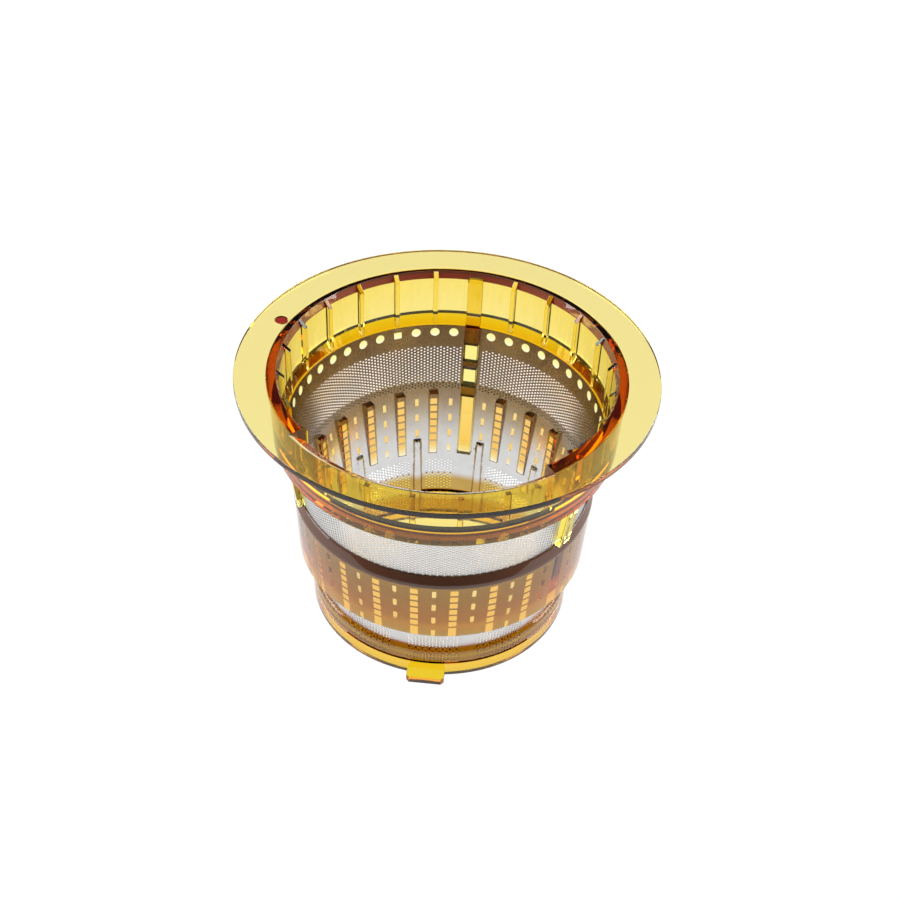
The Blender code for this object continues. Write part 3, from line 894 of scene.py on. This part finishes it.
def ridge_rise(azimuth, depth):
    """How far the inner face stands in at a place: a round-topped ridge."""
    rise = 0.0
    for place in RIDGE_PLACES:
        across = math.radians(azimuth - place) * screen_inner(depth) / RIDGE_HALF_WIDTH
        along = min((depth - RIDGE_TOP_DEPTH) / RIDGE_TOP_ROUND, 1.0)
        if abs(across) < 1.0 and along > 0.0:
            rise = RIDGE_HEIGHT * math.sqrt(1.0 - across**2) * math.sqrt(1.0 - (1.0 - along) ** 2)
    return rise


def press_ridges(obj):
    """Raises the ridges on the sheet's inner face."""
    for vert in obj.data.vertices:
        depth = TOP - vert.co.z
        radius = math.hypot(vert.co.x, vert.co.y)
        azimuth = (math.degrees(math.atan2(vert.co.y, vert.co.x)) - FIRST_RIB_AZIMUTH) % SECTOR
        rise = ridge_rise(azimuth, depth)
        if rise and radius < screen_inner(depth) + SHEET_THICKNESS / 2:
            vert.co.x *= (radius - rise) / radius
            vert.co.y *= (radius - rise) / radius


def add_mesh(sheet, mesh, ridges):
    """The fine holes, in columns with every second one half a row lower, clear of bars and ridges."""
    kept_clear = [(0.0, BAR_CLEARANCE), (SECTOR, BAR_CLEARANCE)]
    kept_clear += [(place, RIDGE_CLEARANCE) for place in ridges]
    radius = screen_inner(mesh["first"] + mesh["pitch"] * mesh["rows"] / 2)
    step = SECTOR / mesh["columns"]
    for column in range(mesh["columns"]):
        azimuth = SEAM_PLACE + step * (column + 0.5)
        if any(math.radians(abs(azimuth - place)) * radius < clearance for place, clearance in kept_clear):
            continue
        rows = mesh["rows"] + 1 - column % 2
        shift = 0.5 * (column % 2)
        for row in range(rows):
            depth = mesh["first"] + mesh["pitch"] * (row + shift)
            sheet.add_hole(azimuth, depth, FINE_HOLE_DIAMETER, FINE_HOLE_SIDES)


def upper_sector(with_square):
    """One sector of the upper band: round holes below the ledge, the fine mesh and the upper windows."""
    sheet = Sheet(SCREEN_TOP_DEPTH, SCREEN_SPLIT_DEPTH)
    half = SQUARE_HOLE_SIDE / 2
    for index in range(1, BAR_EVERY * ROUND_HOLES_PER_RIB):
        azimuth = RIB_PITCH / ROUND_HOLES_PER_RIB * index
        if with_square and index == SQUARE_HOLE_INDEX * ROUND_HOLES_PER_RIB:
            sheet.add_window(azimuth, ROUND_HOLE_DEPTH - half, ROUND_HOLE_DEPTH + half, SQUARE_HOLE_SIDE)
        else:
            sheet.add_hole(azimuth, ROUND_HOLE_DEPTH, ROUND_HOLE_DIAMETER, ROUND_HOLE_SIDES)
    # A sector starts just after the bar it is counted from, so its windows are behind the next bar.
    for over, under in UPPER_WINDOWS:
        sheet.add_window(SECTOR, over, under, WINDOW_WIDTH)
    add_mesh(sheet, UPPER_MESH, [])
    sheet.add_rows(UPPER_ROW_DEPTHS)
    return sheet


def make_upper_sieve(materials):
    """The upper band. One of its round holes is square instead."""
    sectors = [upper_sector(True), upper_sector(False), upper_sector(False)]
    sieve = roll_sheet("upper_sieve", sectors, materials)
    finish_piece(sieve, ["upper_screen"])


def lower_sector():
    """One sector of the lower band: slot columns, dashes, the long window, ridges and the lower mesh."""
    sheet = Sheet(SCREEN_SPLIT_DEPTH, SCREEN_BOTTOM_DEPTH)
    for index in range(1, BAR_EVERY):
        for slot in range(SLOTS_PER_COLUMN):
            over = SLOT_TOP_DEPTH + SLOT_PITCH * slot
            under = over + SLOT_PITCH - SLOT_BRIDGE
            if slot == SLOTS_PER_COLUMN - 1:
                under = SLOT_RIB_BOTTOM_DEPTH
            sheet.add_window(RIB_PITCH * index, over, under, SLOT_WIDTH)
    sheet.add_window(SECTOR, *LOWER_WINDOW, WINDOW_WIDTH)
    for index in range(BAR_EVERY):
        azimuth = RIB_PITCH * (index + 0.5)
        for dash in range(DASHES_PER_COLUMN - index % 2):
            middle = DASH_FIRST_DEPTH + DASH_PITCH * dash
            sheet.add_window(azimuth, middle - DASH_LENGTH / 2, middle + DASH_LENGTH / 2, DASH_WIDTH)
    add_mesh(sheet, LOWER_MESH, RIDGE_PLACES)
    sheet.add_rows(LOWER_ROW_DEPTHS)
    for place in RIDGE_PLACES:
        sheet.add_ridge_points(place, RIDGE_END_DEPTHS + RIDGE_LENGTH_DEPTHS)
    return sheet


def make_lower_sieve(materials):
    """The lower band, of three sectors that are alike."""
    sieve = roll_sheet("lower_sieve", [lower_sector()] * round(360.0 / SECTOR), materials)
    finish_piece(sieve, ["lower_screen"])


def principled(name):
    """A new material with its node list, links and main shader."""
    material = bpy.data.materials.new(name)
    material.use_nodes = True
    nodes = material.node_tree.nodes
    return material, nodes, material.node_tree.links, nodes["Principled BSDF"]


def amber_material(name, colour, density, surface=(1.0, 1.0, 1.0), clearness=1.0, ior=1.56):
    """Clear amber plastic: tinted by its depth, polished, with faint flow waves and fine wipe marks. A dark
    surface colour with less clearness makes a copy that paints shade.
    """
    material, nodes, links, shader = principled(name)
    shader.inputs["Base Color"].default_value = (*surface, 1.0)
    shader.inputs["Transmission Weight"].default_value = clearness
    shader.inputs["IOR"].default_value = ior
    place = nodes.new("ShaderNodeTexCoord")
    marks = nodes.new("ShaderNodeTexNoise")
    marks.inputs["Scale"].default_value = 900.0
    marks.inputs["Detail"].default_value = 3.0
    spread = nodes.new("ShaderNodeMapRange")
    spread.inputs["From Min"].default_value = 0.35
    spread.inputs["From Max"].default_value = 0.75
    spread.inputs["To Min"].default_value = 0.0
    spread.inputs["To Max"].default_value = 0.07
    links.new(place.outputs["Object"], marks.inputs["Vector"])
    links.new(marks.outputs["Fac"], spread.inputs["Value"])
    links.new(spread.outputs["Result"], shader.inputs["Roughness"])
    waves = nodes.new("ShaderNodeTexNoise")
    waves.inputs["Scale"].default_value = 60.0
    waves.inputs["Detail"].default_value = 2.0
    bump = nodes.new("ShaderNodeBump")
    bump.inputs["Strength"].default_value = 0.08
    bump.inputs["Distance"].default_value = 0.3 * MM
    links.new(place.outputs["Object"], waves.inputs["Vector"])
    links.new(waves.outputs["Fac"], bump.inputs["Height"])
    links.new(bump.outputs["Normal"], shader.inputs["Normal"])
    tint = nodes.new("ShaderNodeVolumeAbsorption")
    tint.inputs["Color"].default_value = (*colour, 1.0)
    tint.inputs["Density"].default_value = density
    output = nodes["Material Output"]
    links.new(tint.outputs["Volume"], output.inputs["Volume"])
    return material


def steel_material(name, tones, roughness, painted_light_bands):
    """Etched stainless sheet: satin, mottled between two tones, tinted in (depth, colour) bands of painted
    shade and painted amber reflection.
    """
    material, nodes, links, shader = principled(name)
    shader.inputs["Metallic"].default_value = 1.0
    place = nodes.new("ShaderNodeTexCoord")
    stretch = nodes.new("ShaderNodeMapping")
    stretch.inputs["Scale"].default_value = (1500.0, 1500.0, 60.0)
    grain = nodes.new("ShaderNodeTexNoise")
    grain.inputs["Scale"].default_value = 1.0
    grain.inputs["Detail"].default_value = 4.0
    links.new(place.outputs["Object"], stretch.inputs["Vector"])
    links.new(stretch.outputs["Vector"], grain.inputs["Vector"])
    rough = nodes.new("ShaderNodeMapRange")
    rough.inputs["To Min"].default_value = roughness
    rough.inputs["To Max"].default_value = roughness + 0.14
    links.new(grain.outputs["Fac"], rough.inputs["Value"])
    links.new(rough.outputs["Result"], shader.inputs["Roughness"])
    mottle = nodes.new("ShaderNodeTexNoise")
    mottle.inputs["Scale"].default_value = 240.0
    mottle.inputs["Detail"].default_value = 3.0
    tone = nodes.new("ShaderNodeValToRGB")
    for element, grey in zip(tone.color_ramp.elements, tones):
        element.color = (grey, grey, grey, 1.0)
    links.new(place.outputs["Object"], mottle.inputs["Vector"])
    links.new(mottle.outputs["Fac"], tone.inputs["Fac"])
    # Painted light: the steel's colour is multiplied by a colour banded by depth, which is painted shade and
    # painted amber reflection.
    axes = nodes.new("ShaderNodeSeparateXYZ")
    links.new(place.outputs["Object"], axes.inputs["Vector"])
    height = nodes.new("ShaderNodeMapRange")
    height.inputs["From Min"].default_value = TOP
    height.inputs["From Max"].default_value = 0.0
    links.new(axes.outputs["Z"], height.inputs["Value"])
    tint = nodes.new("ShaderNodeValToRGB")
    for number, (depth, colour) in enumerate(painted_light_bands):
        stop = tint.color_ramp.elements[number] if number < 2 else tint.color_ramp.elements.new(1.0)
        stop.position = depth / TOP
        stop.color = (*colour, 1.0)
    links.new(height.outputs["Result"], tint.inputs["Fac"])
    mixed = nodes.new("ShaderNodeMix")
    mixed.data_type = "RGBA"
    mixed.blend_type = "MULTIPLY"
    mixed.inputs["Factor"].default_value = 1.0
    links.new(tone.outputs["Color"], mixed.inputs[6])
    links.new(tint.outputs["Color"], mixed.inputs[7])
    links.new(mixed.outputs[2], shader.inputs["Base Color"])
    bump = nodes.new("ShaderNodeBump")
    bump.inputs["Strength"].default_value = 0.12
    bump.inputs["Distance"].default_value = 0.02 * MM
    links.new(grain.outputs["Fac"], bump.inputs["Height"])
    links.new(bump.outputs["Normal"], shader.inputs["Normal"])
    return material


def red_material():
    """Red pad print with a slightly pebbled gloss."""
    material, nodes, links, shader = principled("red_mark")
    place = nodes.new("ShaderNodeTexCoord")
    patches = nodes.new("ShaderNodeTexNoise")
    patches.inputs["Scale"].default_value = 1800.0
    tone = nodes.new("ShaderNodeValToRGB")
    tone.color_ramp.elements[0].color = (0.33, 0.02, 0.012, 1.0)
    tone.color_ramp.elements[1].color = (0.5, 0.04, 0.025, 1.0)
    links.new(place.outputs["Object"], patches.inputs["Vector"])
    links.new(patches.outputs["Fac"], tone.inputs["Fac"])
    links.new(tone.outputs["Color"], shader.inputs["Base Color"])
    shader.inputs["Roughness"].default_value = 0.25
    bump = nodes.new("ShaderNodeBump")
    bump.inputs["Strength"].default_value = 0.2
    bump.inputs["Distance"].default_value = 0.05 * MM
    links.new(patches.outputs["Fac"], bump.inputs["Height"])
    links.new(bump.outputs["Normal"], shader.inputs["Normal"])
    return material


def make_floor():
    """A lit white table."""
    shape = bmesh.new()
    bmesh.ops.create_grid(shape, x_segments=1, y_segments=1, size=FLOOR_HALF_SIZE)
    floor = object_from(shape, "floor")
    floor.location = (0.0, 0.0, -FLOOR_GAP)
    material, _, _, shader = principled("white_table")
    shader.inputs["Base Color"].default_value = (0.06, 0.06, 0.06, 1.0)
    shader.inputs["Roughness"].default_value = 0.9
    shader.inputs["Specular IOR Level"].default_value = 0.0
    shader.inputs["Emission Color"].default_value = (1.0, 1.0, 1.0, 1.0)
    shader.inputs["Emission Strength"].default_value = 1.0
    floor.data.materials.append(material)


def make_world():
    """A white backdrop. It lights the object only faintly, and more from behind than from the front."""
    world = bpy.data.worlds.new("studio")
    world.use_nodes = True
    bpy.context.scene.world = world
    nodes = world.node_tree.nodes
    links = world.node_tree.links
    background = nodes["Background"]
    background.inputs["Color"].default_value = (1.0, 1.0, 1.0, 1.0)
    direction = nodes.new("ShaderNodeTexCoord")
    axes = nodes.new("ShaderNodeSeparateXYZ")
    level = nodes.new("ShaderNodeMapRange")
    level.interpolation_type = "SMOOTHSTEP"
    level.inputs["From Min"].default_value = -0.45
    level.inputs["From Max"].default_value = 0.15
    level.inputs["To Min"].default_value = 0.011
    level.inputs["To Max"].default_value = 0.05
    links.new(direction.outputs["Generated"], axes.inputs["Vector"])
    links.new(axes.outputs["Y"], level.inputs["Value"])
    path = nodes.new("ShaderNodeLightPath")
    mix = nodes.new("ShaderNodeMix")
    mix.inputs["B"].default_value = 1.0
    links.new(path.outputs["Is Camera Ray"], mix.inputs["Factor"])
    links.new(level.outputs["Result"], mix.inputs["A"])
    links.new(mix.outputs["Result"], background.inputs["Strength"])


def add_softbox(name, location, width, height, power):
    """A rectangular area light aimed at the object."""
    light = bpy.data.lights.new(name, "AREA")
    light.shape = "RECTANGLE"
    light.size = width
    light.size_y = height
    light.energy = power
    lamp = bpy.data.objects.new(name, light)
    lamp.location = location
    aim = Vector(LIGHT_TARGET) - Vector(location)
    lamp.rotation_euler = aim.to_track_quat("-Z", "Y").to_euler()
    lamp.visible_camera = False
    bpy.context.scene.collection.objects.link(lamp)


def make_lights():
    """A softbox on each side and a weaker one above."""
    add_softbox("left_softbox", (-0.8, 0.15, 0.35), 0.7, 0.7, 9.0)
    add_softbox("right_softbox", (0.8, 0.15, 0.35), 0.7, 0.7, 9.0)
    add_softbox("top_softbox", (0.0, 0.45, 1.0), 0.8, 0.5, 2.0)


def make_camera():
    """The camera in front of the object, looking down on it."""
    camera = bpy.data.cameras.new("camera")
    camera.lens = 56.0
    camera.sensor_width = 36.0
    camera.clip_start = 0.01
    obj = bpy.data.objects.new("camera", camera)
    bpy.context.scene.collection.objects.link(obj)
    tilt = Matrix.Rotation(math.radians(CAMERA_TILT), 4, "X")
    roll = Matrix.Rotation(math.radians(CAMERA_ROLL), 4, "Z")
    obj.matrix_world = Matrix.Translation(CAMERA_PLACE) @ tilt @ roll
    bpy.context.scene.camera = obj


def steel_materials():
    """The sheet's polished inner face and satin outer face, each tinted by depth with painted light."""
    # Painted reflection: the inner face is tinted warm brown at the top and amber at the foot, as if it
    # mirrored the amber plastic.
    inner_reflection_bands = [
        (18.0 * MM, (0.62, 0.49, 0.35)),
        (40.0 * MM, (0.74, 0.64, 0.53)),
        (58.0 * MM, (1.0, 1.0, 1.0)),
        (71.0 * MM, (1.0, 1.0, 1.0)),
        (73.5 * MM, (0.76, 0.5, 0.14)),
    ]
    # Painted shade: the outer face is dark brown under the neck and grey just below it, where the neck
    # shades it.
    outer_shade_bands = [
        (18.0 * MM, (0.3, 0.17, 0.08)),
        (21.4 * MM, (0.32, 0.2, 0.12)),
        (22.0 * MM, (0.42, 0.38, 0.34)),
        (24.6 * MM, (0.5, 0.47, 0.44)),
        (25.4 * MM, (1.0, 1.0, 1.0)),
    ]
    return [
        steel_material("screen_steel", (0.62, 0.76), 0.16, inner_reflection_bands),
        steel_material("screen_steel_outer", (0.64, 0.76), 0.38, outer_shade_bands),
    ]


def make_stage():
    """The camera, the lights and the table."""
    bpy.context.scene.view_settings.view_transform = "Standard"
    make_camera()
    make_world()
    make_lights()
    make_floor()


def main():
    """Makes every piece and its looks."""
    amber = amber_material("amber_plastic", (0.98, 0.86, 0.05), 560.0)
    gold = amber_material("amber_plastic_deep", (0.975, 0.88, 0.05), 1400.0)
    # Painted shade: a browner copy of the amber on the wall over the slotted band.
    brown = amber_material("amber_plastic_skirt_shade", (0.98, 0.87, 0.5), 1000.0)
    # Painted shade: a dark brown, mostly opaque copy of the amber on the shoulder ring.
    dark = amber_material("amber_plastic_shoulder_shade", (0.6, 0.3, 0.2), 600.0, (0.2, 0.085, 0.05), 0.35)
    # Painted shade: a deeper orange copy of the amber on the bars where the steel backs them.
    bar = amber_material("amber_plastic_bar_shade", (0.955, 0.76, 0.05), 900.0)
    # Painted light: a paler copy of the amber with a lower index, on the wedge, the posts and the bars over
    # the windows.
    clear = amber_material("amber_plastic_lit", (0.985, 0.93, 0.4), 560.0, ior=1.2)
    # Painted shade: a dark brown, partly opaque copy of the amber on the rim's chamfer.
    rim = amber_material("amber_plastic_rim_shade", (0.98, 0.86, 0.05), 560.0, (0.55, 0.28, 0.16), 0.6)
    steel = steel_materials()
    make_stage()
    make_frame([amber, gold, rim, clear])
    make_bars([gold, clear, bar])
    make_skirt(brown)
    make_shoulder(dark)
    make_foot(gold)
    make_dot(red_material())
    make_upper_sieve(steel)
    make_lower_sieve(steel)


main()
